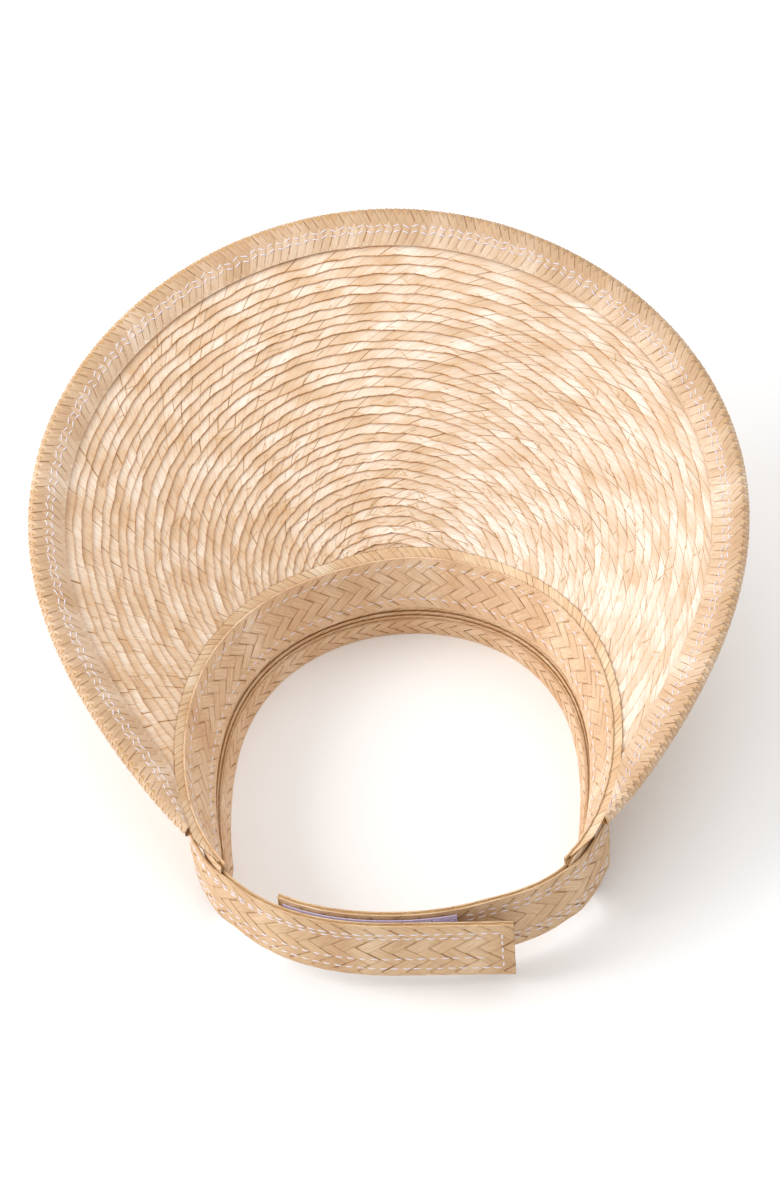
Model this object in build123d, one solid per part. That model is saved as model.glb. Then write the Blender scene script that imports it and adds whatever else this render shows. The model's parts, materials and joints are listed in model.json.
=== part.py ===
"""Woven straw sun visor, standing on the free edge of its crown.

+Z is up, +Y is the front of the brim, and the strap closes at the back, at -Y.
The origin is the centre of the head opening, in the plane of the crown's free edge.
The brim rises from the top of the crown and its concave side, the wearer's side, looks up.
"""
from build123d import *
import os
from math import atan2, cos, degrees, hypot, pi, radians, sin

os.makedirs("parts", exist_ok=True)

# Head opening, in plan, where the brim meets the crown: a radius with four cosine terms
HEAD_RADIUS = 90.6
HEAD_OVAL = (0.12, 0.029, 0.018, -0.013)
LEAN_FRONT = 0.04
LEAN_SIDE = 0.30
LEAN_ENDS = (106.0, 128.0)

# Brim: straight rays run from a low apex in the opening out to the rim
APEX_Y = 73.0
APEX_Z = 20.6
RIM_RADIUS = 143.1
RIM_OVAL = (3.8, 0.3, -7.5, 1.4)
RIM_LEFT_FULLNESS = (-4.3, -2.3)
RIM_HEIGHT = 87.3
RIM_RISE = (51.6, 4.9)
RAY_SAG = 1.0

# Narrow braid, sewn in overlapping rows
BRAID_THICKNESS = 0.8
BRAID_GAP = 0.14
BRIM_ROWS = 36
BRIM_FRONT_LENGTH = 143.8
BRIM_BRAID_WIDTH = 5.4
RIM_MARGIN = 0.6
WALL_CLEARANCE = 1.35
BINDING_CLEARANCE = 2.2

# Crown wall, from the brim down to the free edge, as shares of the wall's height
CROWN_END = 128.5
EDGE_BRAID_SHARE = 0.175
EDGE_BRAID_THICKNESS = 1.1
NARROW_ROWS = 4
NARROW_SHARE = 0.225
WIDE_ROWS = 5
ROW_OVERLAP = 1.1

# Wide herringbone braid: rim binding, sweatband and strap
WIDE_THICKNESS = 1.0
BINDING_WIDTH = 13.5
BINDING_HOLLOW = 1.35
BINDING_NOSE = 1.2
BINDING_TIP = 4.0
SWEATBAND_DEPTH = 28.5
SWEATBAND_PROUD = 0.9
SWEATBAND_OFFSET = -1.65

# Strap
STRAP_LOW = 9.3
STRAP_WIDTH = 32.4
STRAP_FACE = 0.7
LAYER_GAP = 0.1
STRAP_START = 129.0
PEEL_TURN = 145.6
HINGE_GAP = 0.25
STRAP_END_TURN = 209.0
STRAIGHT_STEP = HEAD_RADIUS * pi / 180
RIGHT_TIP_TURN = 214.0
TUCK = 4.6
TUCK_TURNS = (127.0, 156.0)
RIGHT_STRAP_RAISE = 0.7
TAPE_THICKNESS = 1.0
TAPE_LOW = 12.0
TAPE_WIDTH = 28.6
TAPE_TURNS = (148.0, 197.0)
LOOP_TAPE_TURNS = (162.0, 212.0)

# Sewing thread, laid as low beads on the braid
THREAD_WIDTH = 0.6
THREAD_HEIGHT = 0.4
THREAD_LIFT = 0.15
RIM_SEAM_SHARES = (0.42, 0.6)
BAND_SEAMS = (4.5, 24.8)
STRAP_SEAMS = (3.2, 6.4)


def smooth(value, low, high):
    """Ease from 0 to 1 between low and high."""
    share = min(max((value - low) / (high - low), 0.0), 1.0)
    return share * share * (3 - 2 * share)


def spread(first, last, count):
    """Evenly spaced values, both ends included."""
    return [first + (last - first) * index / (count - 1) for index in range(count)]


# ---------------------------------------------------------------- head opening and wall
def head_point(theta, offset):
    """Plan point beside the head oval; theta is 0 at the front and grows to the right."""
    radius = HEAD_RADIUS * (1 + sum(a * cos(k * theta) for k, a in enumerate(HEAD_OVAL, 1)))
    change = -HEAD_RADIUS * sum(k * a * sin(k * theta) for k, a in enumerate(HEAD_OVAL, 1))
    along_x = change * sin(theta) + radius * cos(theta)
    along_y = change * cos(theta) - radius * sin(theta)
    speed = hypot(along_x, along_y)
    x = radius * sin(theta) - offset * along_y / speed
    y = radius * cos(theta) + offset * along_x / speed
    return x, y


def wall_height(theta):
    """Height at which the brim's surface meets the head oval."""
    x, y = head_point(theta, 0)
    phi = atan2(x, y - APEX_Y)
    radius, rise = rim_ray(phi)
    share = hypot(x, y - APEX_Y) / radius
    return ray_height(rise, share)


def wall_lean(theta):
    """Inward lean of the crown wall, as a slope; the wall is upright where the strap leaves it."""
    lean = LEAN_FRONT + (LEAN_SIDE - LEAN_FRONT) * sin(theta) ** 2
    return lean * (1 - smooth(abs(degrees(theta)), *LEAN_ENDS))


def wall_point(theta, height, offset):
    """Point on the crown wall, offset outward from its middle surface."""
    drop = wall_height(theta) - height
    x, y = head_point(theta, offset - wall_lean(theta) * drop)
    return x, y, height


# ---------------------------------------------------------------- brim surface
def rim_ray(phi):
    """Plan length and rise of the ray from the apex to the rim; phi is 0 at the front."""
    radius = RIM_RADIUS + sum(a * cos(k * phi) for k, a in enumerate(RIM_OVAL, 1))
    radius += sum(a * sin(k * phi) for k, a in enumerate(RIM_LEFT_FULLNESS, 1))
    rise = RIM_HEIGHT - APEX_Z + sum(a * cos(k * phi) for k, a in enumerate(RIM_RISE, 1))
    return radius, rise


def ray_height(rise, share):
    return APEX_Z + share * rise - 4 * RAY_SAG * share * (1 - share)


def brim_point(phi, inset, lift):
    """Point at a distance in from the rim, lifted off the surface on its concave side."""
    radius, rise = rim_ray(phi)
    share = 1 - inset / hypot(radius, rise)
    slope = rise - 4 * RAY_SAG * (1 - 2 * share)
    length = hypot(radius, slope)
    reach = share * radius - lift * slope / length
    height = ray_height(rise, share) + lift * radius / length
    return reach * sin(phi), APEX_Y + reach * cos(phi), height


def outside_wall(phi, inset, clearance):
    """Positive while the brim point is outside the crown wall."""
    x, y, _ = brim_point(phi, inset, 0)
    wall_x, wall_y = head_point(atan2(x, y), clearance)
    return hypot(x, y) - hypot(wall_x, wall_y)


def brim_end(inset, side, clearance):
    """Ray angle at which a line parallel to the rim runs into the crown wall."""
    inner = 0.0
    outer = pi
    for _ in range(40):
        middle = (inner + outer) / 2
        if outside_wall(side * middle, inset, clearance) > 0:
            inner = middle
        else:
            outer = middle
    return side * inner


# ---------------------------------------------------------------- solids
def ruled_cap(section):
    first = Edge.make_line(Vector(*section[0]), Vector(*section[1]))
    second = Edge.make_line(Vector(*section[3]), Vector(*section[2]))
    return Face.make_surface_from_curves(first, second)


def flat_cap(section):
    return Face(Wire.make_polygon([Vector(*point) for point in section]))


def side_face(first, second, level):
    """Long side between two edges: a plane one where both edges lie level, otherwise ruled."""
    if not level:
        return Face.make_surface_from_curves(first, second)
    ends = [Edge.make_line(first @ share, second @ share) for share in (0, 1)]
    return Face(Wire([first, ends[1], second, ends[0]]))


def braid_solid(sections, cap=ruled_cap):
    """A solid whose corners run smoothly through matching corners of the sections."""
    steps = spread(0, 1, len(sections))
    corners = range(len(sections[0]))
    rails = [Edge.make_spline([Vector(*s[i]) for s in sections], parameters=steps) for i in corners]
    sides = []
    for i in corners:
        heights = [s[j][2] for s in sections for j in (i - 1, i)]
        level = max(heights) - min(heights) < 1e-6
        sides.append(side_face(rails[i - 1], rails[i], level))
    return Solid(Shell(sides + [cap(sections[0]), cap(sections[-1])]))


def save(solids, name):
    shape = solids[0] if len(solids) == 1 else Compound(children=solids)
    export_step(shape, f"parts/{name}.step")


# ---------------------------------------------------------------- brim
BRIM_PITCH = (BRIM_FRONT_LENGTH - RIM_MARGIN - BRIM_BRAID_WIDTH) / (BRIM_ROWS - 1)


def brim_line(inset, lift, count):
    """Points along a line parallel to the rim, from the left wall to the right wall."""
    ends = [brim_end(inset, side, WALL_CLEARANCE) for side in (-1, 1)]
    return [brim_point(phi, inset, lift) for phi in spread(*ends, count)]


def brim_row(number):
    """One row of braid; its crown-side edge stands on the row before it."""
    inset = RIM_MARGIN + (number - 1) * BRIM_PITCH
    tip = BRIM_BRAID_WIDTH / 2 * (BRAID_THICKNESS + BRAID_GAP) / BRIM_PITCH
    half = BRAID_THICKNESS / 2
    count = 41 if number < BRIM_ROWS / 2 else 29
    corners = (
        (inset, -tip - half),
        (inset, -tip + half),
        (inset + BRIM_BRAID_WIDTH, tip + half),
        (inset + BRIM_BRAID_WIDTH, tip - half),
    )
    lines = [brim_line(*corner, count) for corner in corners]
    return braid_solid(list(zip(*lines)))


def binding_turns():
    """Ray angles of the binding, from tip to tip."""
    return spread(*[brim_end(BINDING_TIP, side, BINDING_CLEARANCE) for side in (-1, 1)], 49)


def binding_width(phi):
    """Width of the binding on the brim, tapering where the crown wall comes close."""
    near = 0.0
    far = BINDING_WIDTH * 4
    for _ in range(40):
        middle = (near + far) / 2
        if outside_wall(phi, middle, BINDING_CLEARANCE) > 0:
            near = middle
        else:
            far = middle
    return (near ** -6 + BINDING_WIDTH ** -6) ** (-1 / 6)


def binding_section(phi):
    """Braid folded over the rim: a long narrow U, open towards the crown."""
    width = binding_width(phi)
    inner = BINDING_HOLLOW
    outer = BINDING_HOLLOW + WIDE_THICKNESS
    nose = BINDING_NOSE
    outline = (
        (width, outer), (0.0, outer), (-nose, inner), (-nose, -inner), (0.0, -outer),
        (width, -outer), (width, -inner), (0.0, -inner), (0.0, inner), (width, inner),
    )
    return [brim_point(phi, inset, lift) for inset, lift in outline]


def rim_binding():
    return braid_solid([binding_section(phi) for phi in binding_turns()], flat_cap)


def rim_thread(share):
    """Stitch line at a share of the binding's width."""
    low = BINDING_HOLLOW + WIDE_THICKNESS + THREAD_LIFT
    high = low + THREAD_HEIGHT
    sections = []
    for phi in binding_turns():
        near = share * binding_width(phi) - THREAD_WIDTH / 2
        far = near + THREAD_WIDTH
        outline = ((near, low), (near, high), (far, high), (far, low))
        sections.append([brim_point(phi, *corner) for corner in outline])
    return braid_solid(sections)


# ---------------------------------------------------------------- crown
def wall_braid(low, high, thickness, end=CROWN_END):
    """Braid along the wall; low and high are (level function, outward offset)."""
    half = thickness / 2
    sections = []
    for turn in spread(-end, end, 33):
        theta = radians(turn)
        bottom = low[0](theta)
        top = high[0](theta)
        sections.append([
            wall_point(theta, bottom, low[1] - half),
            wall_point(theta, bottom, low[1] + half),
            wall_point(theta, top, high[1] + half),
            wall_point(theta, top, high[1] - half),
        ])
    return braid_solid(sections)


def at_share(share, overlap=0.0):
    """Level at a share of the wall's height, raised by an overlap."""
    return lambda theta: share * wall_height(theta) + overlap


def below_brim(depth):
    """Level at a fixed distance below the brim."""
    return lambda theta: wall_height(theta) - depth


def crown_row(low_share, high_share, overlap):
    pitch = (high_share - low_share) * wall_height(0)
    tip = (pitch + overlap) / 2 * (BRAID_THICKNESS + BRAID_GAP) / pitch
    return wall_braid(
        (at_share(low_share), tip), (at_share(high_share, overlap), -tip), BRAID_THICKNESS)


def crown_rows():
    """Narrow rows above the edge braid, then wide rows up to the brim."""
    narrow_top = EDGE_BRAID_SHARE + NARROW_SHARE
    levels = spread(EDGE_BRAID_SHARE, narrow_top, NARROW_ROWS + 1)
    levels += spread(narrow_top, 1.0, WIDE_ROWS + 1)[1:]
    rows = []
    for low, high in zip(levels, levels[1:]):
        rows.append(crown_row(low, high, ROW_OVERLAP if high < 1 else 0.0))
    return rows


def crown_edge_braid():
    return wall_braid(
        (lambda theta: 0.0, 0.0), (at_share(EDGE_BRAID_SHARE, ROW_OVERLAP), -0.9),
        EDGE_BRAID_THICKNESS)


def sweatband():
    return wall_braid(
        (below_brim(SWEATBAND_DEPTH), SWEATBAND_OFFSET),
        (below_brim(-SWEATBAND_PROUD), SWEATBAND_OFFSET), WIDE_THICKNESS)


def sweatband_thread(depth):
    offset = SWEATBAND_OFFSET - (WIDE_THICKNESS + THREAD_HEIGHT) / 2 - THREAD_LIFT
    return wall_braid(
        (below_brim(depth + THREAD_WIDTH / 2), offset),
        (below_brim(depth - THREAD_WIDTH / 2), offset), THREAD_HEIGHT, CROWN_END - 1)


# ---------------------------------------------------------------- strap
def left_path(turn, offset):
    """Plan point of the outer strap: round the left side, then straight past the back centre."""
    x, y = head_point(-radians(min(turn, 180)), offset)
    return x + max(turn - 180, 0) * STRAIGHT_STEP, y


def right_path(turn, offset):
    """Plan point of the under strap, tucked inside the outer one past the right side."""
    return head_point(radians(turn), offset - TUCK * smooth(turn, *TUCK_TURNS))


def strap_piece(path, turns, outer, thickness, low, width, count=17):
    """Upright band between two turns, with its outer face at an offset from the oval."""
    sections = []
    for turn in spread(*turns, count):
        out_x, out_y = path(turn, outer)
        in_x, in_y = path(turn, outer - thickness)
        sections.append([
            (in_x, in_y, low), (out_x, out_y, low),
            (out_x, out_y, low + width), (in_x, in_y, low + width),
        ])
    return braid_solid(sections)


def strap_layers(path, turns, low):
    """Outer and inner layer of a strap, back to back."""
    inner_face = STRAP_FACE - WIDE_THICKNESS - LAYER_GAP
    return [strap_piece(path, turns, outer, WIDE_THICKNESS, low, STRAP_WIDTH)
            for outer in (STRAP_FACE, inner_face)]


def strap_threads(path, turns, low):
    """Two stitch lines along each long edge, on the strap's outer face."""
    face = STRAP_FACE + THREAD_LIFT + THREAD_HEIGHT
    levels = [low + seam for seam in STRAP_SEAMS] + [low + STRAP_WIDTH - seam for seam in STRAP_SEAMS]
    return [strap_piece(path, turns, face, THREAD_HEIGHT, level - THREAD_WIDTH / 2, THREAD_WIDTH)
            for level in levels]


def main():
    for number in range(1, BRIM_ROWS + 1):
        save([brim_row(number)], f"brim_row_{number:02d}")
    save([rim_binding()], "rim_binding")

    for number, row in enumerate(crown_rows(), 1):
        save([row], f"crown_row_{number}")
    save([crown_edge_braid()], "crown_edge_braid")
    save([sweatband()], "sweatband")
    threads = [rim_thread(share) for share in RIM_SEAM_SHARES]
    threads += [sweatband_thread(seam) for seam in BAND_SEAMS]
    save(threads, "visor_thread")

    gap = degrees(HINGE_GAP / HEAD_RADIUS)
    left_turns = (STRAP_START, PEEL_TURN - gap)
    outer, inner = strap_layers(left_path, left_turns, STRAP_LOW)
    save([outer], "left_strap_outer")
    save([inner], "left_strap_lining")
    save(strap_threads(left_path, left_turns, STRAP_LOW), "left_strap_thread")

    tab_turns = (PEEL_TURN + gap, STRAP_END_TURN)
    outer, inner = strap_layers(left_path, tab_turns, STRAP_LOW)
    save([outer], "strap_tab_outer")
    save([inner], "strap_tab_lining")
    save(strap_threads(left_path, tab_turns, STRAP_LOW), "strap_tab_thread")
    tab_back = STRAP_FACE - 2 * (WIDE_THICKNESS + LAYER_GAP)
    save([strap_piece(left_path, TAPE_TURNS, tab_back, TAPE_THICKNESS, TAPE_LOW, TAPE_WIDTH)],
         "hook_tape")

    right_turns = (STRAP_START, RIGHT_TIP_TURN)
    right_low = STRAP_LOW + RIGHT_STRAP_RAISE
    outer, inner = strap_layers(right_path, right_turns, right_low)
    save([outer], "right_strap_outer")
    save([inner], "right_strap_lining")
    thread_turns = (STRAP_START, LOOP_TAPE_TURNS[0] - 2)
    save(strap_threads(right_path, thread_turns, right_low), "right_strap_thread")
    loop_face = STRAP_FACE + LAYER_GAP + TAPE_THICKNESS
    save([strap_piece(right_path, LOOP_TAPE_TURNS, loop_face, TAPE_THICKNESS, TAPE_LOW, TAPE_WIDTH)],
         "loop_tape")


main()
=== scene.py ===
"""Woven straw sun visor, standing on the free edge of its crown: braid, thread and tape."""
import json
from math import cos, pi, radians, sin

import bmesh
import bpy
import numpy as np
from mathutils import Matrix, Vector


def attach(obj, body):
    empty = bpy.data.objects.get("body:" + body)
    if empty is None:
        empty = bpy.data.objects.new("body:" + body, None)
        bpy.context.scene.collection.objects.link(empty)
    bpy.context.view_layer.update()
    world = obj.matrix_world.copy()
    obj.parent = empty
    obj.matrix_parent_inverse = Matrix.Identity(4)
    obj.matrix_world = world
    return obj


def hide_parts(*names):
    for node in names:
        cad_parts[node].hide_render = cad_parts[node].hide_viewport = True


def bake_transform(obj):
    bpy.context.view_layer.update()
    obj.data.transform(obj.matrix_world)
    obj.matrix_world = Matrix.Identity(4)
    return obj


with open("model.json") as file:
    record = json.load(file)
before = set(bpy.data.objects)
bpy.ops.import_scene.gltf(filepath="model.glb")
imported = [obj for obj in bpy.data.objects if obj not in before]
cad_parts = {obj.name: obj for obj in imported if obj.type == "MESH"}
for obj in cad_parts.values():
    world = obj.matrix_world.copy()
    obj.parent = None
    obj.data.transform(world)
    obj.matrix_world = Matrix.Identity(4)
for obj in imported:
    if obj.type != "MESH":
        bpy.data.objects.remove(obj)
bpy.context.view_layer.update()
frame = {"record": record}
MM = 0.001

# ---------------------------------------------------------------- the visor's shape, in millimetres
HEAD_RADIUS = 90.6
HEAD_OVAL = (0.12, 0.029, 0.018, -0.013)
LEAN_FRONT = 0.04
LEAN_SIDE = 0.30
LEAN_ENDS = (106.0, 128.0)

APEX_Y = 73.0
APEX_Z = 20.6
RIM_RADIUS = 143.1
RIM_OVAL = (3.8, 0.3, -7.5, 1.4)
RIM_LEFT_FULLNESS = (-4.3, -2.3)
RIM_HEIGHT = 87.3
RIM_RISE = (51.6, 4.9)
RAY_SAG = 1.0
LINE_POINTS = 240

BRIM_ROWS = 36
RIM_MARGIN = 0.6
BRIM_FRONT_LENGTH = 143.8
ROW_WIDTH = 5.4
ROW_PITCH = (BRIM_FRONT_LENGTH - RIM_MARGIN - ROW_WIDTH) / (BRIM_ROWS - 1)
ROW_STEP = 0.80
ROW_NUDGE = 0.4
ROW_STRAW = (8.6, 6.0)
ROW_THICKNESS = 0.44
FIBRES_EACH_ROW = 16
BARE_ROWS = 3
WALL_CLEARANCE = 1.35
BINDING_CLEARANCE = 2.2

JOIN_WIDTH = 3.8
JOIN_END = 127.0
JOIN_TAPER_TURNS = (118.0, 127.0)
JOIN_TAPER = 0.7
JOIN_OFFSET = -1.3
JOIN_LIFT = 0.65
JOIN_SLOPE = 0.1

CROWN_END = 128.5
EDGE_SHARE = 0.175
NARROW_ROWS = 4
NARROW_SHARE = 0.225
WIDE_ROWS = 5
ROW_OVERLAP = 1.1
END_RISE = 9.5
END_RISE_TURNS = (110.0, 127.0)
EDGE_FOOT = 0.4
EDGE_LEAN = -0.9
CROWN_ROW_STRAW = (6.0, 4.8)
CROWN_ROW_THICKNESS = 0.42
EDGE_CELL = 6.8
EDGE_THICKNESS = 0.55

BINDING_WIDTH = 13.5
BINDING_NOSE = 5.2
BINDING_MIDDLE = 1.85
BINDING_TIP = 1.0
BINDING_SINK = 0.9
BINDING_SINK_WIDTH = 5.0
BINDING_REACH = 1.5
BINDING_SQUARENESS = 6
BINDING_CELL = 3.9
BINDING_FOLD = (13, 6)
BINDING_SEAMS = (5.4, 7.8)
BINDING_SEAM_MARGIN = 3.0

WIDE_THICKNESS = 0.5
WIDE_CORE = 1.1

SWEATBAND_DEPTH = 28.5
SWEATBAND_PROUD = 0.9
SWEATBAND_OFFSET = -1.65
SWEATBAND_CELL = 7.4
SWEATBAND_SEAM_MARGIN = 4

STRAP_LOW = 9.3
STRAP_WIDTH = 32.4
STRAP_OUTER = 0.2
STRAP_LINING = -0.9
STRAP_END_TURN = 209.0
STRAIGHT_STEP = HEAD_RADIUS * pi / 180
RIGHT_RAISE = 0.7
RIGHT_TIP_TURN = 214.0
TUCK = 4.6
TUCK_TURNS = (127.0, 156.0)
PEEL_TURN = 145.6
ANCHOR_TURN = 109.0
ANCHOR_LIFT = 1.5
ANCHOR_EASE = (124.0, 132.0)
SPLIT_TURN = 137.5
LINING_START = 127.5
CROWN_HINGE_TURN = 128.8
HINGE_REACH = 4.0
LEFT_CELL = 9.4
RIGHT_CELL = 9.2
STRAP_STITCH_LIFT = 0.46
RIGHT_SEAM_STOP = 160.0
TAB_SEAM_INSET = 4.6

TAPE_LOW = 12.0
TAPE_WIDTH = 28.6
TAPE_THICKNESS = 0.75
NUB_SPACING = 1.5
NUB_HEIGHT = 0.55
HOOK_TURNS = (148.0, 197.0)
HOOK_OFFSET = -2.0
LOOP_TURNS = (162.0, 212.0)
LOOP_OFFSET = 1.3

random_draws = np.random.default_rng(57)


def smooth(value, low, high):
    share = np.clip((value - low) / (high - low), 0.0, 1.0)
    return share * share * (3 - 2 * share)


def blend_pair(pair, share):
    return pair[0] + (pair[1] - pair[0]) * share


def head_points(theta, offset):
    """Plan points beside the head oval; theta is 0 at the front and grows to the right."""
    radius = HEAD_RADIUS * (1 + sum(a * np.cos(k * theta) for k, a in enumerate(HEAD_OVAL, 1)))
    change = -HEAD_RADIUS * sum(k * a * np.sin(k * theta) for k, a in enumerate(HEAD_OVAL, 1))
    along_x = change * np.sin(theta) + radius * np.cos(theta)
    along_y = change * np.cos(theta) - radius * np.sin(theta)
    speed = np.hypot(along_x, along_y)
    return (radius * np.sin(theta) - offset * along_y / speed,
            radius * np.cos(theta) + offset * along_x / speed)


def rim_rays(phi):
    radius = RIM_RADIUS + sum(a * np.cos(k * phi) for k, a in enumerate(RIM_OVAL, 1))
    radius = radius + sum(a * np.sin(k * phi) for k, a in enumerate(RIM_LEFT_FULLNESS, 1))
    rise = RIM_HEIGHT - APEX_Z + sum(a * np.cos(k * phi) for k, a in enumerate(RIM_RISE, 1))
    return radius, rise


def ray_heights(rise, share):
    return APEX_Z + share * rise - 4 * RAY_SAG * share * (1 - share)


def brim_points(phi, inset, lift):
    """Points at a distance in from the rim, lifted off the brim on its concave side."""
    radius, rise = rim_rays(phi)
    share = 1 - inset / np.hypot(radius, rise)
    slope = rise - 4 * RAY_SAG * (1 - 2 * share)
    length = np.hypot(radius, slope)
    reach = share * radius - lift * slope / length
    height = ray_heights(rise, share) + lift * radius / length
    return np.stack([reach * np.sin(phi), APEX_Y + reach * np.cos(phi), height], -1)


def brim_heights(theta, offset):
    """Height of the brim's surface above a point beside the head oval."""
    x, y = head_points(theta, offset)
    radius, rise = rim_rays(np.arctan2(x, y - APEX_Y))
    return ray_heights(rise, np.hypot(x, y - APEX_Y) / radius)


def wall_heights(theta):
    return brim_heights(theta, 0.0)


def wall_points(theta, height, offset):
    lean = LEAN_FRONT + (LEAN_SIDE - LEAN_FRONT) * np.sin(theta) ** 2
    lean = lean * (1 - smooth(np.abs(np.degrees(theta)), *LEAN_ENDS))
    x, y = head_points(theta, offset - lean * (wall_heights(theta) - height))
    return np.stack([x, y, height + 0 * x], -1)


def outside_wall(phi, inset, clearance):
    x, y, _ = brim_points(np.float64(phi), inset, 0.0)
    wall_x, wall_y = head_points(np.arctan2(x, y), clearance)
    return np.hypot(x, y) > np.hypot(wall_x, wall_y)


def last_true(test, far):
    """Largest value from 0 towards far for which the test still holds."""
    near = 0.0
    for _ in range(30):
        middle = (near + far) / 2
        if test(middle):
            near = middle
        else:
            far = middle
    return near


def brim_ends(inset, clearance):
    """Ray angles at which a line parallel to the rim runs into the crown wall, left and right."""
    return [side * last_true(lambda a: outside_wall(side * a, inset, clearance), pi)
            for side in (-1, 1)]


# ---------------------------------------------------------------- flat braid laid onto its place
class Lay:
    """A place for a flat braid: u runs along it, v across it and w out of its face, all in mm."""

    def __init__(self, width, point_at):
        shares = np.linspace(0, 1, LINE_POINTS)
        line = point_at(shares, np.full(LINE_POINTS, width / 2), np.zeros(LINE_POINTS))
        steps = np.linalg.norm(np.diff(line, axis=0), axis=1)
        self.width = width
        self.shares = shares
        self.travel = np.concatenate([[0], np.cumsum(steps)])
        self.length = self.travel[-1]
        self.point_at = point_at

    def place(self, flat):
        share = np.interp(flat[:, 0], self.travel, self.shares)
        return self.point_at(share, flat[:, 1], flat[:, 2])

    def travel_at(self, share):
        return float(np.interp(share, self.shares, self.travel))


def ripple(size, *waves):
    """A gentle hand-made wander along a row, from a few long waves."""
    phases = random_draws.uniform(0, 2 * pi, len(waves))
    return lambda u: size * sum(np.sin(2 * pi * u / w + p) for w, p in zip(waves, phases))


def brim_row_lay(number):
    inset = RIM_MARGIN + (number - 1) * ROW_PITCH
    outer_ends = brim_ends(inset, WALL_CLEARANCE)
    inner_ends = brim_ends(inset + ROW_WIDTH, WALL_CLEARANCE)
    wander = ripple(0.22, 19.0, 47.0, 110.0)
    nudge = random_draws.uniform(-ROW_NUDGE, ROW_NUDGE) * (1 < number < BRIM_ROWS)
    reach = RIM_RADIUS * (outer_ends[1] - outer_ends[0])

    def point_at(share, v, w):
        across = v / ROW_WIDTH
        left = blend_pair((outer_ends[0], inner_ends[0]), across)
        right = blend_pair((outer_ends[1], inner_ends[1]), across)
        phi = left + (right - left) * share
        lift = w + (v - ROW_WIDTH / 2) * ROW_STEP / ROW_PITCH
        return brim_points(phi, inset + v + nudge + wander(share * reach), lift)
    return Lay(ROW_WIDTH, point_at)


def binding_lay():
    """The binding's outer face: in from the brim, round the rim and back underneath."""
    ends = brim_ends(BINDING_TIP, BINDING_CLEARANCE)
    angles = np.linspace(*ends, 181)
    widths = []
    for phi in angles:
        room = last_true(lambda d: outside_wall(phi, d, BINDING_CLEARANCE), BINDING_WIDTH * 4)
        power = -BINDING_SQUARENESS
        widths.append((room ** power + BINDING_WIDTH ** power) ** (1 / power))

    def point_at(share, v, w):
        phi = ends[0] + (ends[1] - ends[0]) * share
        width = np.interp(phi, angles, widths)
        turn = np.clip((v - BINDING_WIDTH) / BINDING_NOSE, 0, 1) * pi
        top = np.clip(1 - v / BINDING_WIDTH, 0, None)
        under = np.clip((v - BINDING_WIDTH - BINDING_NOSE) / BINDING_WIDTH, 0, None)
        inset = (top + under) * width - (BINDING_REACH + w) * np.sin(turn)
        sink = BINDING_SINK * (1 - smooth(v, 0, BINDING_SINK_WIDTH))
        return brim_points(phi, inset, (BINDING_MIDDLE - sink + w) * np.cos(turn))
    return Lay(2 * BINDING_WIDTH + BINDING_NOSE, point_at)


def wall_lay(low, high):
    """Braid along the crown wall; low and high are (level function, outward offset)."""
    middle = radians(30)
    width = float(high[0](middle) - low[0](middle))

    def point_at(share, v, w):
        theta = np.radians(-CROWN_END + 2 * CROWN_END * share)
        across = v / width
        level = blend_pair((low[0](theta), high[0](theta)), across)
        return wall_points(theta, level, blend_pair((low[1], high[1]), across) + w)
    return Lay(width, point_at)


def left_path(turn, offset):
    x, y = head_points(-np.radians(np.minimum(turn, 180)), offset)
    return x + np.maximum(turn - 180, 0) * STRAIGHT_STEP, y


def right_path(turn, offset):
    return head_points(np.radians(turn), offset - TUCK * smooth(turn, *TUCK_TURNS))


def strap_lay(path, turns, offset, low, width=STRAP_WIDTH, anchor=0.0):
    """Upright band between two turns; the anchor lifts its start over the crown's end."""
    def point_at(share, v, w):
        turn = turns[0] + (turns[1] - turns[0]) * share
        lift = anchor * (1 - smooth(turn, *ANCHOR_EASE))
        x, y = path(turn, offset + lift + w)
        return np.stack([x, y, low + v], -1)
    return Lay(width, point_at)


# ---------------------------------------------------------------- small repeated shapes
def finish_shape(bm, name):
    bmesh.ops.recalc_face_normals(bm, faces=bm.faces)
    mesh = bpy.data.meshes.new(name)
    bm.to_mesh(mesh)
    bm.free()
    return mesh


def slab(segments, strips):
    """A closed slab, one unit long, wide and thick, divided along and across."""
    bm = bmesh.new()
    bmesh.ops.create_grid(bm, x_segments=segments, y_segments=strips, size=0.5)
    lifted = bmesh.ops.extrude_face_region(bm, geom=bm.faces[:])["geom"]
    bmesh.ops.translate(
        bm, vec=(0, 0, 1), verts=[v for v in lifted if isinstance(v, bmesh.types.BMVert)])
    return bm


def straw_plate():
    """One visible float of straw, to be stretched to its own length, width and thickness."""
    return finish_shape(slab(4, 2), "straw_plate")


def thread_bead():
    """One stitch: a short rounded length of thread, one unit long, wide and high."""
    bm = bmesh.new()
    bmesh.ops.create_uvsphere(bm, u_segments=6, v_segments=6, radius=0.5,
                              matrix=Matrix.Rotation(pi / 2, 4, "Y"))
    return finish_shape(bm, "thread_bead")


def ribbon(length, width, segments, strips):
    """A thin closed ribbon from 0 to length and 0 to width, one unit thick."""
    bm = slab(segments, strips)
    bmesh.ops.translate(bm, vec=(0.5, 0.5, -0.5), verts=bm.verts)
    bmesh.ops.scale(bm, vec=(length, width, 1), verts=bm.verts)
    return finish_shape(bm, "ribbon")


PLATE = straw_plate()
BEAD = thread_bead()


def coordinates(mesh):
    values = np.empty(len(mesh.vertices) * 3)
    mesh.vertices.foreach_get("co", values)
    return values.reshape(-1, 3)


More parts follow.
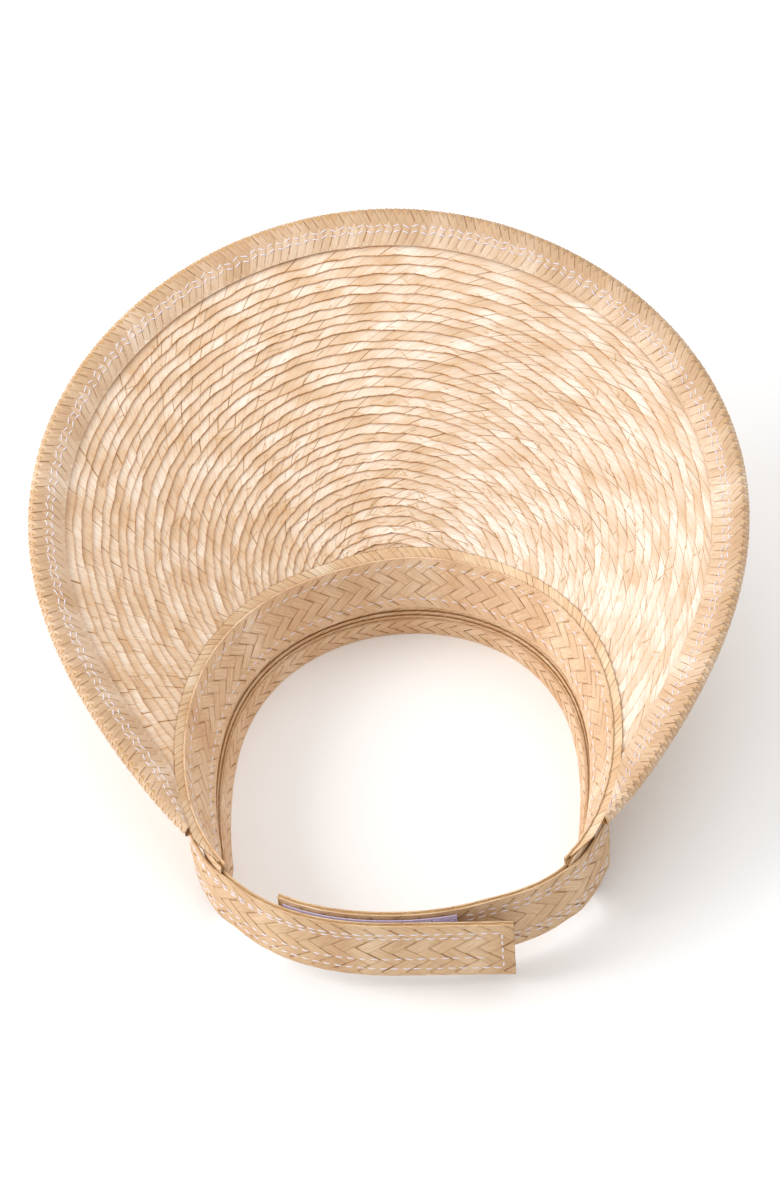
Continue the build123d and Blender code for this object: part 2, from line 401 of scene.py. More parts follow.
def repeated(shape, count, first=None):
    """A mesh of one first shape, if any, and then many copies of another."""
    bm = bmesh.new()
    if first is not None:
        bm.from_mesh(first)
    for face in bm.faces:
        face.material_index = 1
    for _ in range(count):
        bm.from_mesh(shape)
    mesh = bpy.data.meshes.new("braid")
    bm.to_mesh(mesh)
    bm.free()
    return mesh


def write_attribute(mesh, name, values):
    layer = mesh.attributes.new(name, "FLOAT_VECTOR", "POINT")
    layer.data.foreach_set("vector", np.ascontiguousarray(values, dtype=np.float32).ravel())


def laid_piece(name, mesh, placed, materials, crease=35):
    """Moves a mesh's points to their places, in mm, turns its faces outward and shows it."""
    mesh.vertices.foreach_set("co", (placed * MM).ravel())
    mesh.update()
    bm = bmesh.new()
    bm.from_mesh(mesh)
    if bm.calc_volume(signed=True) < 0:
        bmesh.ops.reverse_faces(bm, faces=bm.faces)
    bm.to_mesh(mesh)
    bm.free()
    mesh.shade_smooth()
    mesh.set_sharp_from_angle(angle=radians(crease))
    mesh.name = name
    for material in materials:
        mesh.materials.append(material)
    piece = bpy.data.objects.new(name, mesh)
    bpy.context.scene.collection.objects.link(piece)
    return piece


EDGE_SPILL = 0.4
END_SPILL = 0.3


def tucked(value, width, spill):
    """Draws in what runs past either edge of a braid, as a straw that folds over there does."""
    over = np.maximum(value - width, 0)
    under = np.maximum(-value, 0)
    inside = np.clip(value, 0, width)
    return inside + spill * over / (over + spill) - spill * under / (under + spill)


def herringbone(lay, columns, cell):
    """Centres of the straws of a herringbone, with half of them leaning each way."""
    breadth = lay.width / columns
    for column in range(-1, columns + 1):
        for step in range(-1, int(lay.length / cell) + 2):
            centre = (step + 0.5 * (column % 2) + 0.25) * cell
            slant = 1 if column % 2 == 0 else -1
            yield centre, (column + 0.5) * breadth, slant, cell, breadth, cell / 2, breadth / 2


def single_row(lay, run, cell):
    """Centres of straws that all lean one way, each crossing the whole row."""
    for step in range(-1, int(lay.length / cell) + 2):
        yield (step + 0.5) * cell, lay.width / 2, -1, run, lay.width, cell, 0.0


def braid(name, lay, layout, thickness, materials, faces=(1, -1), trim=(0.0, None), gap=0.04,
          dip=0.45, overreach=1.1, ragged=0.0, strips=2, core=0.5, mottle=0.14,
          painted_light_and_tone=lambda share, v: 0.0):
    """A length of braid: straw plates over a thin core that shows between them.

    A braid plaited on one face only has its core behind that face; the last argument shifts the
    straws' tone along and across it, and on the brim and binding it carries a painted light
    gradient, lighter towards the right where the light falls more.
    """
    low, high = trim[0], lay.length if trim[1] is None else trim[1]
    table = np.array([(*row, face) for face in faces for row in layout])
    draws = random_draws.uniform(-1, 1, (len(table), 6))
    spare = 0.45 * table[:, 3]
    inside = ((table[:, 0] > low - spare * (low == 0))
              & (table[:, 0] < high + spare * (high == lay.length)))
    table, draws = table[inside], draws[inside]
    centre_u, centre_v, slant, long_u, long_v, short_u, short_v, face = (c[:, None] for c in table.T)
    slant = slant * face
    turn, wide, shift, lift, tilt, own_tone = (d[:, None] for d in draws.T)

    local = coordinates(PLATE)
    along, across, depth = (np.tile(local[:, i], (len(table), 1)) for i in range(3))
    along = np.interp(along, (-0.5, -0.25, 0, 0.25, 0.5), (-0.5, -0.38, 0, 0.38, 0.5))
    reach = along * (overreach + ragged * turn)
    turned = -slant * face * across * (1 - gap) * (1 + 0.04 * wide)
    u = centre_u + reach * long_u + turned * short_u + 0.03 * long_u * shift
    v = centre_v + slant * (reach * long_v - turned * short_v)
    ends = np.interp(np.abs(along), (0.38, 0.5), (0, 1))
    crown = 1 - (2 * across) ** 2
    height = 0.88 + 0.12 * crown - dip * ends + 0.06 * lift + 0.10 * tilt * across
    w = face * thickness * np.where(depth > 0.5, height, height - 0.75)
    folded = (v < -EDGE_SPILL) | (v > lay.width + EDGE_SPILL)
    u = tucked(u, lay.length, END_SPILL)
    v = tucked(v, lay.width, EDGE_SPILL)
    flat = np.stack([u, v, w], -1).reshape(-1, 3)

    length = np.hypot(long_u, long_v)
    grain = np.stack([reach * length, across * length / 2, 40 * own_tone + 11 * wide + 0 * along], -1)
    patches = ripple(0.14, 21.0, 38.0, 83.0)(u)
    # The last tone term is the shift passed in; on the brim and binding it is painted light, lighter
    # towards the right.
    tone = 0.5 + patches + mottle * own_tone + painted_light_and_tone(centre_u / lay.length - 0.5, centre_v)
    # The end and side values darken the straws' ends and sides in the material: partly their browner
    # edges, partly painted shade in the gaps between straws and along the rows' overlapping edges.
    end_mark = np.where(folded, 0.5, np.abs(2 * along))
    side_mark = np.where(folded, 0.0, np.abs(2 * across))
    look = np.stack([np.clip(tone, 0, 1), side_mark, end_mark], -1)

    core_shape = ribbon(high - low, lay.width, max(4, int((high - low) / 4)), strips)
    sink = 0.4 * thickness * sum(faces)
    core_flat = coordinates(core_shape) * (1, 1, core * thickness) + (low, 0, -sink)
    mesh = repeated(PLATE, len(table), core_shape)
    write_attribute(mesh, "grain", np.concatenate([core_flat, grain.reshape(-1, 3)]))
    write_attribute(mesh, "look", np.concatenate([0 * core_flat, look.reshape(-1, 3)]))
    return laid_piece(name, mesh, lay.place(np.concatenate([core_flat, flat])), materials)


def stitches(name, lay, seams, material, length=3.4, space=1.0, size=0.62, raise_by=0.0):
    """Rows of single stitches; a seam is (start, end, v at start, v at end, zigzag)."""
    places = []
    for start, end, v_start, v_end, zigzag in seams:
        run = np.hypot(end - start, v_end - v_start)
        count = max(1, int(run / (length + space)))
        for index in range(count):
            share = (index + 0.5) / count
            side = 1 if index % 2 else -1
            angle = np.arctan2(v_end - v_start, end - start) + side * zigzag * 0.35
            places.append((start + (end - start) * share,
                           v_start + (v_end - v_start) * share + side * zigzag * 0.2, angle))
    table = np.array(places)
    draws = random_draws.uniform(-1, 1, (len(table), 4))[:, :, None]
    local = coordinates(BEAD)
    along, across, high = (np.tile(local[:, i], (len(table), 1)) for i in range(3))
    run = along * length * (1 + 0.12 * draws[:, 0])
    wide = across * size
    angle = table[:, 2:3] + 0.10 * draws[:, 1]
    u = table[:, 0:1] + run * np.cos(angle) - wide * np.sin(angle) + 0.12 * draws[:, 2]
    v = table[:, 1:2] + run * np.sin(angle) + wide * np.cos(angle) + 0.10 * draws[:, 3]
    sink = 0.30 * (2 * along) ** 2
    w = raise_by + size * (high * 0.8 + 0.1 - sink)
    flat = np.stack([u, v, w], -1).reshape(-1, 3)
    mesh = repeated(BEAD, len(table))
    grain = np.stack([run, wide, draws[:, 0] * 9 + 0 * run], -1).reshape(-1, 3)
    write_attribute(mesh, "grain", grain)
    return laid_piece(name, mesh, lay.place(flat), [material], crease=80)


def loose_fibres(name, lays, each, material, lift):
    """Thin splinters that have come away from the straws, a few to each row."""
    local = coordinates(BEAD)
    placed = []
    for lay in lays:
        draws = random_draws.uniform(0, 1, (each, 6))[:, :, None]
        along, across, high = (np.tile(local[:, i], (each, 1)) for i in range(3))
        length = 2.0 + 5.0 * draws[:, 0]
        angle = -0.9 + 1.6 * draws[:, 1]
        run = along * length
        side = across * 0.22 + 0.5 * (draws[:, 2] - 0.5) * (2 * along) ** 2
        u = 3 + (lay.length - 6) * draws[:, 3] + run * np.cos(angle) - side * np.sin(angle)
        v = lay.width * (0.55 + 0.4 * draws[:, 4]) + run * np.sin(angle) + side * np.cos(angle)
        w = lift + high * 0.2 + 0.7 * draws[:, 5] * (along + 0.5) ** 2
        placed.append(lay.place(np.stack([u, v, w], -1).reshape(-1, 3)))
    mesh = repeated(BEAD, each * len(lays))
    return laid_piece(name, mesh, np.concatenate(placed), [material], crease=80)


# ---------------------------------------------------------------- materials
def linear(code):
    """An sRGB hex colour as linear values."""
    channels = [int(code[i:i + 2], 16) / 255 for i in (1, 3, 5)]
    return [c / 12.92 if c <= 0.04045 else ((c + 0.055) / 1.055) ** 2.4 for c in channels] + [1.0]


def add_node(tree, kind, settings=None, links=None):
    """Adds a node, sets its properties and inputs, and links what feeds it."""
    node = tree.nodes.new(kind)
    for key, value in (settings or {}).items():
        if isinstance(key, int) or key in node.inputs:
            node.inputs[key].default_value = value
        else:
            setattr(node, key, value)
    for key, source in (links or {}).items():
        tree.links.new(source, node.inputs[key])
    return node


def new_material(name):
    material = bpy.data.materials.new(name)
    material.use_nodes = True
    tree = material.node_tree
    tree.nodes.clear()
    return material, tree


def colour_ramp(tree, stops, factor):
    ramp = add_node(tree, "ShaderNodeValToRGB", links={"Fac": factor})
    elements = ramp.color_ramp.elements
    while len(elements) < len(stops):
        elements.new(0.5)
    for element, (place, code) in zip(elements, stops):
        element.position = place
        element.color = linear(code)
    return ramp.outputs["Color"]


def mixed(tree, factor, first, second, mode="MIX"):
    """Mixes two colours; the factor may be a number or a socket."""
    node = add_node(tree, "ShaderNodeMix", {"data_type": "RGBA", "blend_type": mode})
    for index, value in ((0, factor), (6, first), (7, second)):
        if isinstance(value, bpy.types.NodeSocket):
            tree.links.new(value, node.inputs[index])
        else:
            node.inputs[index].default_value = value
    return node.outputs[2]


def scaled(tree, vector, scale):
    return add_node(tree, "ShaderNodeMapping", {"Scale": scale}, {"Vector": vector}).outputs["Vector"]


def noise(tree, vector, scale, detail=2.0):
    node = add_node(tree, "ShaderNodeTexNoise", {"Scale": scale, "Detail": detail}, {"Vector": vector})
    return node.outputs["Fac"]


def ranged(tree, value, low, high, to_low=0.0, to_high=1.0):
    settings = {"From Min": low, "From Max": high, "To Min": to_low, "To Max": to_high}
    return add_node(tree, "ShaderNodeMapRange", settings, {"Value": value}).outputs["Result"]


def surface(tree, colour, roughness, height, depth, sheen=0.0):
    """The shader and output; the height becomes a bump of the given depth in millimetres."""
    bump = add_node(tree, "ShaderNodeBump", {"Strength": 1.0, "Distance": depth * MM},
                    {"Height": height})
    shader = add_node(tree, "ShaderNodeBsdfPrincipled", {"IOR": 1.45, "Sheen Weight": sheen},
                      {"Base Color": colour, "Roughness": roughness, "Normal": bump.outputs["Normal"]})
    add_node(tree, "ShaderNodeOutputMaterial", links={"Surface": shader.outputs["BSDF"]})


def palm_straw(name, stops, edge_code, side_strength, line_strength, fibre_mm=0.3):
    """Split palm leaf, dried and plaited: every straw has its own tone, fine lengthwise fibres,
    a few stained patches and darker sides and ends, with a soft waxy shine. The darker sides
    and ends are partly the straw's own browner edges and partly painted shade: the thin lines
    of shade in the gaps between straws and under each row's overlapping edge."""
    material, tree = new_material(name)
    grain = add_node(tree, "ShaderNodeAttribute", {"attribute_name": "grain"}).outputs["Vector"]
    look = add_node(tree, "ShaderNodeAttribute", {"attribute_name": "look"}).outputs["Vector"]
    parts = add_node(tree, "ShaderNodeSeparateXYZ", links={"Vector": look}).outputs
    place = add_node(tree, "ShaderNodeTexCoord").outputs["Object"]
    fibre = noise(tree, scaled(tree, grain, (0.15, 1 / fibre_mm, 1)), 1.0, 2.0)
    vein = noise(tree, scaled(tree, grain, (0.08, 1.1, 1)), 1.0, 1.0)
    blotch = noise(tree, place, 1 / (6.0 * MM), 3.0)
    nick = noise(tree, place, 1 / (1.6 * MM), 2.0)
    base = colour_ramp(tree, stops, parts["X"])
    stained = mixed(tree, ranged(tree, blotch, 0.58, 0.72, 0.0, 0.35), base, linear("#D2A56D"))
    veined = mixed(tree, ranged(tree, vein, 0.58, 0.70, 0.0, 0.30), stained, linear("#D9B88C"))
    lined = mixed(tree, ranged(tree, fibre, 0.32, 0.55, 0.42, 0.0), veined, linear(edge_code))
    # Partly painted shade: each straw darkens towards its sides, for the shade in the gaps between straws
    # as well as its browner edges.
    edged = mixed(tree, ranged(tree, parts["Y"], 0.80, 1.0, 0.0, side_strength), lined, linear(edge_code))
    # Partly painted shade: the straws darken at their ends, broken up by the nicks, which draws the line
    # of shade along each row's overlapping edge as well as the browner ends.
    ragged = add_node(tree, "ShaderNodeMath", {"operation": "MULTIPLY_ADD", 1: 0.24},
                      {0: nick, 2: parts["Z"]}).outputs[0]
    ended = mixed(tree, ranged(tree, ragged, 0.98, 1.12, 0.0, line_strength), edged,
                  linear(edge_code))
    roughness = ranged(tree, fibre, 0.3, 0.7, 0.62, 0.46)
    surface(tree, ended, roughness, fibre, 0.08)
    return material


def braid_core(name, code):
    """The shaded inside of a plait, where crossing straws hide each other: a darker golden brown."""
    material, tree = new_material(name)
    grain = add_node(tree, "ShaderNodeAttribute", {"attribute_name": "grain"}).outputs["Vector"]
    fibre = noise(tree, scaled(tree, grain, (0.3, 2.2, 1)), 1.0, 3.0)
    colour = mixed(tree, ranged(tree, fibre, 0.3, 0.7, 0.0, 0.35), linear(code), linear("#8A5F2E"))
    surface(tree, colour, ranged(tree, fibre, 0, 1, 0.7, 0.6), fibre, 0.15)
    return material


def sewing_thread():
    """Two-ply polyester thread, pale lilac white, with a slight twist and sheen."""
    material, tree = new_material("polyester_sewing_thread")
    grain = add_node(tree, "ShaderNodeAttribute", {"attribute_name": "grain"}).outputs["Vector"]
    wave = add_node(tree, "ShaderNodeTexWave",
                    {"wave_type": "BANDS", "bands_direction": "DIAGONAL", "Scale": 0.9,
                     "Distortion": 1.0}, {"Vector": grain}).outputs["Fac"]
    colour = mixed(tree, ranged(tree, wave, 0, 1, 0.0, 0.6), linear("#F4EEF6"), linear("#CFC4D8"))
    surface(tree, colour, ranged(tree, wave, 0, 1, 0.5, 0.65), wave, 0.08, sheen=0.2)
    return material


def brushed_tape(name, light, dark, loop_mm):
    """Woven nylon tape with a napped face: matte, fuzzy and pale lilac."""
    material, tree = new_material(name)
    place = add_node(tree, "ShaderNodeTexCoord").outputs["Object"]
    fuzz = noise(tree, place, 1 / (loop_mm * MM), 4.0)
    shade = noise(tree, place, 1 / (9 * MM), 2.0)
    mixed_fuzz = mixed(tree, ranged(tree, fuzz, 0.35, 0.65), linear(dark), linear(light))
    colour = mixed(tree, ranged(tree, shade, 0.3, 0.7, 0.0, 0.25), mixed_fuzz, linear(dark))
    surface(tree, colour, ranged(tree, fuzz, 0, 1, 0.95, 0.8), fuzz, 0.35, sheen=0.4)
    return material


BRIM_STRAW = palm_straw(
    "palm_straw_cream_row",
    ((0.0, "#CFAD8B"), (0.3, "#DEC3A6"), (0.6, "#EAD7C2"), (0.9, "#F6ECDE")), "#CB8C42", 0.2, 0.9,
    fibre_mm=0.45)
BINDING_STRAW = palm_straw(
    "palm_straw_pale_binding",
    ((0.0, "#CBA987"), (0.4, "#D9BC9E"), (0.75, "#E3CAB0"), (1.0, "#EDDBC6")), "#A8743C", 0.45, 0.15)
TAN_STRAW = palm_straw(
    "palm_straw_tan_herringbone",
    ((0.0, "#D9B18A"), (0.4, "#E2BF9A"), (0.75, "#E9CBAA"), (1.0, "#F0D8BB")), "#9A6834", 0.5, 0.4)
CROWN_STRAW = palm_straw(
    "palm_straw_tan_row",
    ((0.0, "#D5AD82"), (0.4, "#E0BC94"), (0.8, "#EBD0AD"), (1.0, "#F3DFC3")), "#8E5F2C", 0.4, 0.85)
STRAP_STRAW = palm_straw(
    "palm_straw_smooth_strap",
    ((0.0, "#C49C72"), (0.4, "#D1AD85"), (0.75, "#DBBB95"), (1.0, "#E5CAA8")), "#8F5F2D", 0.5, 0.4)
FIBRE = braid_core("palm_straw_splinter", "#DDB47A")
CORE = braid_core("palm_straw_shaded_core", "#A8763C")
PALE_CORE = braid_core("palm_straw_folded_edge", "#CFA673")
THREAD = sewing_thread()
HOOK_TAPE = brushed_tape("nylon_hook_tape", "#EFE6F0", "#CDBFD6", 0.7)
LOOP_TAPE = brushed_tape("nylon_loop_tape", "#E9DDF0", "#C5B2D2", 0.5)

node_body = {node: body for body, nodes in frame["record"]["behaviour"]["bodies"].items()
             for node in nodes}


def settle(piece, slot, body, *nodes):
    """Rides a piece on its body and lets it stand for its frame nodes by hiding them; the slot is not
    used.
    """
    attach(piece, body)
    if nodes:
        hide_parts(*nodes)


# ---------------------------------------------------------------- brim
def build_brim_rows():
    lays = [brim_row_lay(number) for number in range(1, BRIM_ROWS + 1)]
    for number, lay in enumerate(lays, 1):
        node = f"brim_row_{number:02d}"
        # Painted light: the brim's straws get lighter towards the right and darker to the left, a painted
        # gradient for the light falling more on the right of the hollow brim.
        piece = braid(f"{node}_plait", lay, list(single_row(lay, *ROW_STRAW)), ROW_THICKNESS,
                      [BRIM_STRAW, CORE], overreach=1.0, ragged=0.08, dip=0.15, gap=0.005,
                      mottle=0.09, painted_light_and_tone=lambda share, v: 0.36 * share)
        settle(piece, "brim_straw", node_body[node], node)
    fibres = loose_fibres("brim_loose_fibres", lays[BARE_ROWS:], FIBRES_EACH_ROW, FIBRE, 0.45)
    settle(fibres, "brim_straw", "visor_body")


def build_join_row():
    """The narrow row folded from the brim down to the wall, which closes the seam between them."""
    def point_at(share, v, w):
        turn = -JOIN_END + 2 * JOIN_END * share
        theta = np.radians(turn)
        taper = 1 - JOIN_TAPER * smooth(np.abs(turn), *JOIN_TAPER_TURNS)
        offset = v * taper + JOIN_OFFSET
        x, y = head_points(theta, offset)
        height = brim_heights(theta, offset) + JOIN_LIFT + JOIN_SLOPE * v + w
        return np.stack([x, y, height], -1)
    lay = Lay(JOIN_WIDTH, point_at)
    piece = braid("brim_join_row_plait", lay, list(single_row(lay, 4.0, 3.0)), 0.4,
                  [CROWN_STRAW, CORE], overreach=1.0, ragged=0.08, dip=0.15, gap=0.02)
    settle(piece, "crown_straw", "visor_body")


def build_binding():
    lay = binding_lay()
    fold, reach = BINDING_FOLD
    # Painted light: the binding gets lighter towards the right, a painted gradient for how the light
    # falls, as on the brim; its tone is also darker across the outer half, round the fold at the rim.
    piece = braid("rim_binding_herringbone", lay, list(herringbone(lay, 4, BINDING_CELL)),
                  WIDE_THICKNESS, [BINDING_STRAW, PALE_CORE], faces=(1,), strips=16,
                  core=WIDE_CORE, dip=0.32,
                  painted_light_and_tone=lambda share, v: 0.15 * share - 0.4 * (np.abs(v - fold) < reach))
    settle(piece, "binding_braid", "visor_body", "rim_binding")
    last = lay.length - BINDING_SEAM_MARGIN
    seams = [(BINDING_SEAM_MARGIN, last, v, v, 1.0) for v in BINDING_SEAMS]
    thread = stitches("rim_thread_zigzag", lay, seams, THREAD, length=3.2, space=0.9, size=0.52,
                      raise_by=0.5)
    settle(thread, "sewing_thread", "visor_body", "visor_thread")


# ---------------------------------------------------------------- crown
def end_rise(theta):
    """How far the free edge climbs at the crown's ends, where the straps cover it."""
    return END_RISE * smooth(np.abs(np.degrees(theta)), *END_RISE_TURNS)


def at_share(share, overlap=0.0):
    return lambda theta: share * wall_heights(theta) + overlap + (1 - share) * end_rise(theta)


def below_brim(depth):
    return lambda theta: wall_heights(theta) - depth


def crown_levels():
    narrow_top = EDGE_SHARE + NARROW_SHARE
    levels = list(np.linspace(EDGE_SHARE, narrow_top, NARROW_ROWS + 1))
    return levels + list(np.linspace(narrow_top, 1.0, WIDE_ROWS + 1))[1:]


def build_crown_rows():
    levels = crown_levels()
    front_height = float(wall_heights(np.float64(0)))
    for number, (low, high) in enumerate(zip(levels, levels[1:]), 1):
        node = f"crown_row_{number}"
        overlap = ROW_OVERLAP if high < 1 else 0.0
        pitch = (high - low) * front_height
        tip = (pitch + overlap) / 2 * ROW_STEP / pitch
        lay = wall_lay((at_share(low), tip), (at_share(high, overlap), -tip))
        piece = braid(f"{node}_plait", lay, list(single_row(lay, *CROWN_ROW_STRAW)),
                      CROWN_ROW_THICKNESS, [CROWN_STRAW, CORE], overreach=1.0, ragged=0.05, dip=0.15)
        settle(piece, "crown_straw", "visor_body", node)


def build_edge_braid():
    lay = wall_lay((lambda theta: EDGE_FOOT + end_rise(theta), 0.0),
                   (at_share(EDGE_SHARE, ROW_OVERLAP), EDGE_LEAN))
    piece = braid("crown_edge_plait", lay, list(herringbone(lay, 2, EDGE_CELL)), EDGE_THICKNESS,
                  [TAN_STRAW, CORE], gap=0.08, dip=0.5)
    settle(piece, "crown_edge_straw", "visor_body", "crown_edge_braid")


def build_sweatband():
    lay = wall_lay((below_brim(SWEATBAND_DEPTH), SWEATBAND_OFFSET),
                   (below_brim(-SWEATBAND_PROUD), SWEATBAND_OFFSET))
    piece = braid("sweatband_herringbone", lay, list(herringbone(lay, 4, SWEATBAND_CELL)),
                  WIDE_THICKNESS, [TAN_STRAW, PALE_CORE], faces=(-1,), strips=4, core=WIDE_CORE)
    settle(piece, "sweatband_braid", "visor_body", "sweatband")
    inner = FlippedLay(lay)
    last = lay.length - SWEATBAND_SEAM_MARGIN
    seams = [(SWEATBAND_SEAM_MARGIN, last, v, v, 0.4) for v in (5.0, lay.width - 4.6)]
    thread = stitches("sweatband_stitches", inner, seams, THREAD, length=3.6, raise_by=0.42)
    settle(thread, "sewing_thread", "visor_body")


class FlippedLay:
    """The same place seen from the other face, for what is sewn on the inside."""

    def __init__(self, lay):
        self.lay = lay
        self.length = lay.length
        self.width = lay.width

    def place(self, flat):
        return self.lay.place(flat * (1, 1, -1))


# ---------------------------------------------------------------- strap
STRAP_LOOK = {"thickness": WIDE_THICKNESS, "materials": [STRAP_STRAW, PALE_CORE], "strips": 4,
              "core": WIDE_CORE}


def across_hinge(path, joint_turn):
    """Points before and after a hinge, along the strap."""
    height = STRAP_LOW + STRAP_WIDTH / 2
    return [tuple(float(c) * MM for c in (*path(np.float64(turn), 0.0), height))
            for turn in (joint_turn - HINGE_REACH, joint_turn + HINGE_REACH)]


def bend(piece, slot, first, second, span, *nodes):
    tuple(span[0])
    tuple(span[1])
    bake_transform(piece)
    if nodes:
        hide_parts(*nodes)


def build_left_strap():
    turns = (ANCHOR_TURN, STRAP_END_TURN)
    outer = strap_lay(left_path, turns, STRAP_OUTER, STRAP_LOW, anchor=ANCHOR_LIFT)
    split = outer.travel_at((SPLIT_TURN - turns[0]) / (turns[1] - turns[0]))
    crown_span = across_hinge(left_path, CROWN_HINGE_TURN)
    peel_span = across_hinge(left_path, PEEL_TURN)
    weave = list(herringbone(outer, 4, LEFT_CELL))
    start = braid("left_strap_herringbone", outer, weave, faces=(1,), trim=(0.0, split), **STRAP_LOOK)
    bend(start, "strap_braid", "visor_body", "left_strap", crown_span, "left_strap_outer")
    tab = braid("strap_tab_herringbone", outer, weave, faces=(1,), trim=(split, None), **STRAP_LOOK)
    bend(tab, "strap_braid", "left_strap", "strap_tab", peel_span, "strap_tab_outer")

    end = outer.length
    close = end - TAB_SEAM_INSET
    top = STRAP_WIDTH
    seams = [(2, split, top - 5.2, top - 6.2, 0.3), (2, split, top - 7.4, top - 8.0, 0.3),
             (2, split, 4.4, 4.4, 0.3), (2, split, 8.6, 9.6, 0.3)]
    threads = stitches("left_strap_stitches", outer, seams, THREAD, raise_by=STRAP_STITCH_LIFT)
    bend(threads, "sewing_thread", "visor_body", "left_strap", crown_span, "left_strap_thread")
    seams = [(split, close, top - 6.2, top - 4.6, 0.2), (split, end - 11.0, top - 8.0, top - 7.6, 0.2),
             (split, close, 4.4, 4.4, 0.2), (split, end - 11.0, 9.6, 11.6, 0.2),
             (close, close, 4.6, top - 4.6, 0.2)]
    threads = stitches("strap_tab_stitches", outer, seams, THREAD, raise_by=STRAP_STITCH_LIFT)
    bend(threads, "sewing_thread", "left_strap", "strap_tab", peel_span, "strap_tab_thread")

    turns = (LINING_START, STRAP_END_TURN)
    lining = strap_lay(left_path, turns, STRAP_LINING, STRAP_LOW)
    split = lining.travel_at((SPLIT_TURN - turns[0]) / (turns[1] - turns[0]))
    weave = list(herringbone(lining, 4, LEFT_CELL))
    start = braid("left_strap_lining_herringbone", lining, weave, faces=(-1,),
                  trim=(0.0, split), **STRAP_LOOK)
    bend(start, "strap_braid", "visor_body", "left_strap", crown_span, "left_strap_lining")
    tab = braid("strap_tab_lining_herringbone", lining, weave, faces=(-1,),
                trim=(split, None), **STRAP_LOOK)
    bend(tab, "strap_braid", "left_strap", "strap_tab", peel_span, "strap_tab_lining")


def build_right_strap():
    low = STRAP_LOW + RIGHT_RAISE
    turns = (ANCHOR_TURN, RIGHT_TIP_TURN)
    outer = strap_lay(right_path, turns, STRAP_OUTER, low, anchor=ANCHOR_LIFT)
    span = across_hinge(right_path, CROWN_HINGE_TURN)
    piece = braid("right_strap_herringbone", outer, list(herringbone(outer, 4, RIGHT_CELL)),
                  faces=(1,), **STRAP_LOOK)
    bend(piece, "strap_braid", "visor_body", "right_strap", span, "right_strap_outer")
    lining = strap_lay(right_path, (LINING_START, RIGHT_TIP_TURN), STRAP_LINING, low)
    piece = braid("right_strap_lining_herringbone", lining, list(herringbone(lining, 4, RIGHT_CELL)),
                  faces=(-1,), **STRAP_LOOK)
    bend(piece, "strap_braid", "visor_body", "right_strap", span, "right_strap_lining")
    top = STRAP_WIDTH
    stop = outer.travel_at((RIGHT_SEAM_STOP - turns[0]) / (turns[1] - turns[0]))
    seams = [(2, stop, v, v, 0.3) for v in (top - 4.6, top - 7.8, 4.6, 7.6)]
    threads = stitches("right_strap_stitches", outer, seams, THREAD, raise_by=STRAP_STITCH_LIFT)
    bend(threads, "sewing_thread", "visor_body", "right_strap", span, "right_strap_thread")


def tape(name, lay, material, nub, face, body, node):
    """A tape with rounded edges and rows of small nubs standing on its face."""
    shape = ribbon(lay.length, lay.width, int(lay.length / 2), 8)
    flat = coordinates(shape)
    edge = np.minimum(flat[:, 1], lay.width - flat[:, 1]) / 2.0
    flat[:, 2] *= TAPE_THICKNESS * (0.55 + 0.45 * np.clip(edge, 0, 1))
    columns = int(lay.length / NUB_SPACING) - 1
    rows = int(lay.width / NUB_SPACING) - 1
    grid_u, grid_v = np.meshgrid(np.arange(columns) + 1, np.arange(rows) + 1)
    centres = np.stack([grid_u.ravel() + 0.5 * (grid_v.ravel() % 2), grid_v.ravel()], -1)
    centres = centres * NUB_SPACING
    draws = random_draws.uniform(-1, 1, (len(centres), 2))[:, None, :]
    local = coordinates(BEAD)[None] * (nub, nub, NUB_HEIGHT)
    local = local + (0, 0, 0.32)
    nubs = local + np.concatenate([centres[:, None, :] + 0.2 * draws, 0 * draws[:, :, :1]], -1)
    nubs = nubs.reshape(-1, 3)
    mesh = repeated(BEAD, len(centres), shape)
    both = np.concatenate([flat, nubs]) * (1, 1, face)
    both[:, 0] = np.clip(both[:, 0], 0, lay.length)
    piece = laid_piece(name, mesh, lay.place(both), [material, material], crease=60)
    settle(piece, node, body, node)


def build_tapes():
    hook = strap_lay(left_path, HOOK_TURNS, HOOK_OFFSET, TAPE_LOW, TAPE_WIDTH)
    tape("hook_tape_nap", hook, HOOK_TAPE, 0.5, -1, "strap_tab", "hook_tape")
    loop = strap_lay(right_path, LOOP_TURNS, LOOP_OFFSET, TAPE_LOW, TAPE_WIDTH)
    tape("loop_tape_nap", loop, LOOP_TAPE, 0.8, 1, "right_strap", "loop_tape")


# ---------------------------------------------------------------- room
CAMERA_AZIMUTH = 6.04
CAMERA_ELEVATION = 48.54
CAMERA_ROLL = 5.85
CAMERA_DISTANCE = 1.1
CAMERA_AIM = (-0.00395, 0.06934, 0.06129)
CAMERA_LENS = 80.5
FLOOR_HALF_SIZE = 6.0
ROOM_LIGHT = 0.74


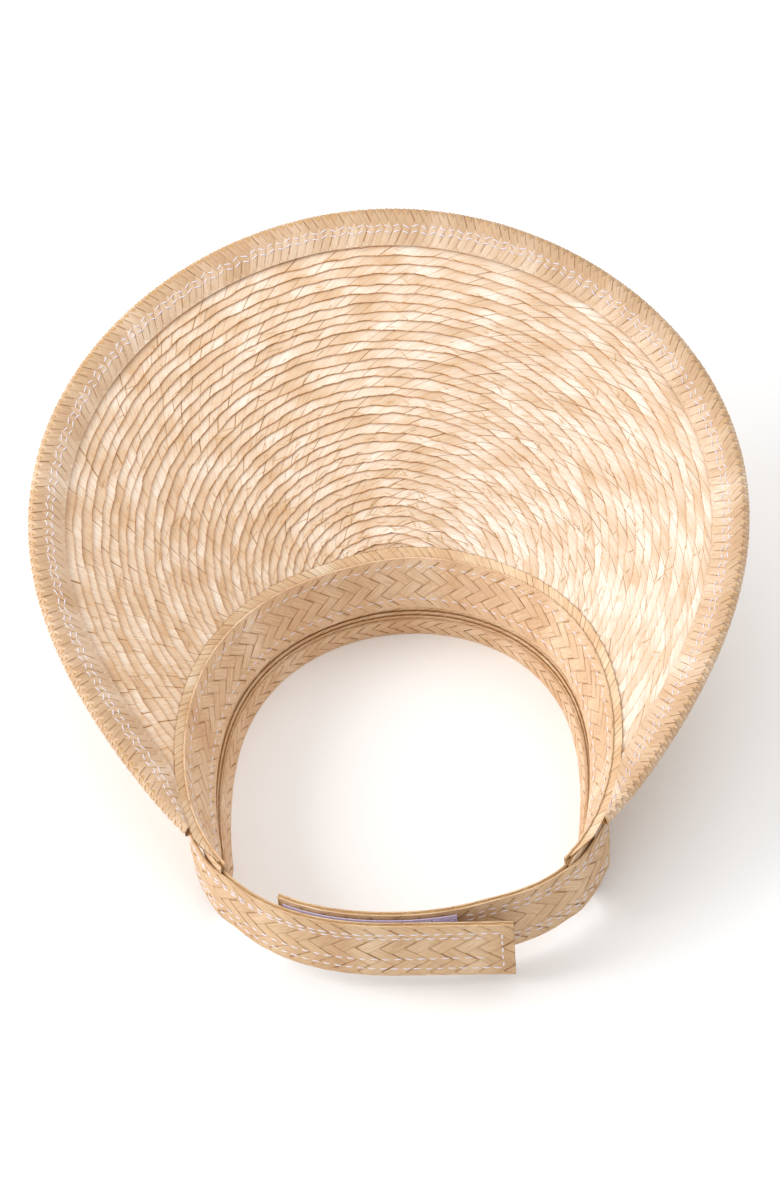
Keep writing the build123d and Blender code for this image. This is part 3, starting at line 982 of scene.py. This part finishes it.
def build_camera():
    azimuth, elevation, roll = (radians(a) for a in (CAMERA_AZIMUTH, CAMERA_ELEVATION, CAMERA_ROLL))
    back = Vector((sin(azimuth) * cos(elevation), -cos(azimuth) * cos(elevation), sin(elevation)))
    right = Vector((cos(azimuth), sin(azimuth), 0))
    up = back.cross(right)
    turned_right = right * cos(roll) - up * sin(roll)
    turned_up = right * sin(roll) + up * cos(roll)
    camera = bpy.data.objects.new("camera", bpy.data.cameras.new("camera"))
    bpy.context.scene.collection.objects.link(camera)
    turn = Matrix((turned_right, turned_up, back)).transposed().to_4x4()
    camera.matrix_world = Matrix.Translation(Vector(CAMERA_AIM) + back * CAMERA_DISTANCE) @ turn
    camera.data.lens = CAMERA_LENS
    camera.data.clip_start = 0.05
    bpy.context.scene.camera = camera


def area_light(name, place, size, power, aim=(0, 0.05, 0.05)):
    light = bpy.data.lights.new(name, "AREA")
    light.size = size
    light.energy = power
    lamp = bpy.data.objects.new(name, light)
    direction = Vector(place) - Vector(aim)
    turn = direction.to_track_quat("Z", "Y").to_matrix().to_4x4()
    lamp.matrix_world = Matrix.Translation(place) @ turn
    bpy.context.scene.collection.objects.link(lamp)


def build_room():
    bm = bmesh.new()
    bmesh.ops.create_grid(bm, x_segments=1, y_segments=1, size=FLOOR_HALF_SIZE)
    mesh = bpy.data.meshes.new("studio_floor")
    bm.to_mesh(mesh)
    bm.free()
    floor = bpy.data.objects.new("studio_floor", mesh)
    bpy.context.scene.collection.objects.link(floor)
    material, tree = new_material("matt_white_paper")
    shader = add_node(tree, "ShaderNodeBsdfPrincipled",
                      {"Base Color": linear("#F6F6F6"), "Roughness": 0.9})
    add_node(tree, "ShaderNodeOutputMaterial", links={"Surface": shader.outputs["BSDF"]})
    mesh.materials.append(material)
    world = bpy.data.worlds.new("soft_white_room")
    world.use_nodes = True
    background = world.node_tree.nodes["Background"]
    background.inputs["Color"].default_value = (1, 1, 1, 1)
    background.inputs["Strength"].default_value = ROOM_LIGHT
    bpy.context.scene.world = world
    area_light("key_from_left", (-1.25, -0.1, 0.8), 0.9, 17.0)
    area_light("fill_from_above", (0.3, 0.3, 1.6), 1.5, 8.0)
    bpy.context.scene.view_settings.view_transform = "Standard"


build_brim_rows()
build_join_row()
build_binding()
build_crown_rows()
build_edge_braid()
build_sweatband()
build_left_strap()
build_right_strap()
build_tapes()
build_camera()
build_room()
for tool in (PLATE, BEAD):
    bpy.data.meshes.remove(tool)
